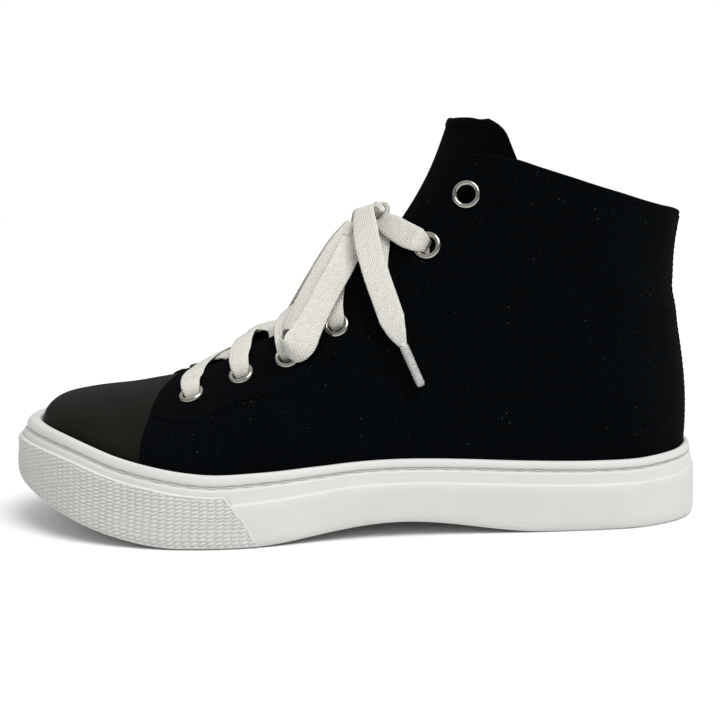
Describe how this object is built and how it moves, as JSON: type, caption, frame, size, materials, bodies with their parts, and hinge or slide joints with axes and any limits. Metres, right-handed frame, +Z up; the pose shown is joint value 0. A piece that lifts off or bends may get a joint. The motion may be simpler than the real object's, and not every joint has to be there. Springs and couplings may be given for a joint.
{
  "type": "high top sneaker",
  "caption": "Left high top sneaker in black canvas with a black leather toe cap, white rubber cupsole and white laces tied in a bow.",
  "frame": {"origin": "on the floor, under the middle of the sole's length and width", "axes": "+X to the toe, +Y to the outer side of the foot, +Z up"},
  "size_m": [0.2782, 0.1082, 0.1598],
  "materials": {
    "rubber": "matte, moulded",
    "canvas": "plain weave cotton canvas",
    "lining": "cotton lining",
    "leather": "smooth, satin",
    "nickel": "polished nickel",
    "cotton": "flat woven cotton lace",
    "sleeve": "clear film"
  },
  "bodies": {
    "root": {"sole": "rubber", "insole": "lining", "upper": "canvas", "tongue": "canvas", "toe_cap": "leather", "toe_bumper": "rubber", "eyelet_outer_1": "nickel", "eyelet_inner_1": "nickel", "eyelet_outer_2": "nickel", "eyelet_inner_2": "nickel", "eyelet_outer_3": "nickel", "eyelet_inner_3": "nickel", "eyelet_outer_4": "nickel", "eyelet_inner_4": "nickel", "eyelet_outer_5": "nickel", "eyelet_inner_5": "nickel", "eyelet_outer_6": "nickel", "eyelet_inner_6": "nickel", "eyelet_outer_7": "nickel", "eyelet_inner_7": "nickel", "lace_crossing_1": "cotton", "lace_crossing_2": "cotton", "lace_crossing_3": "cotton", "lace_crossing_4": "cotton", "lace_crossing_5": "cotton", "lace_knot": "cotton", "lace_loop_outer": "cotton", "lace_end_outer": "cotton", "aglet_outer": "sleeve", "lace_loop_inner": "cotton", "lace_end_inner": "cotton", "aglet_inner": "sleeve"}
  },
  "joints": []
}
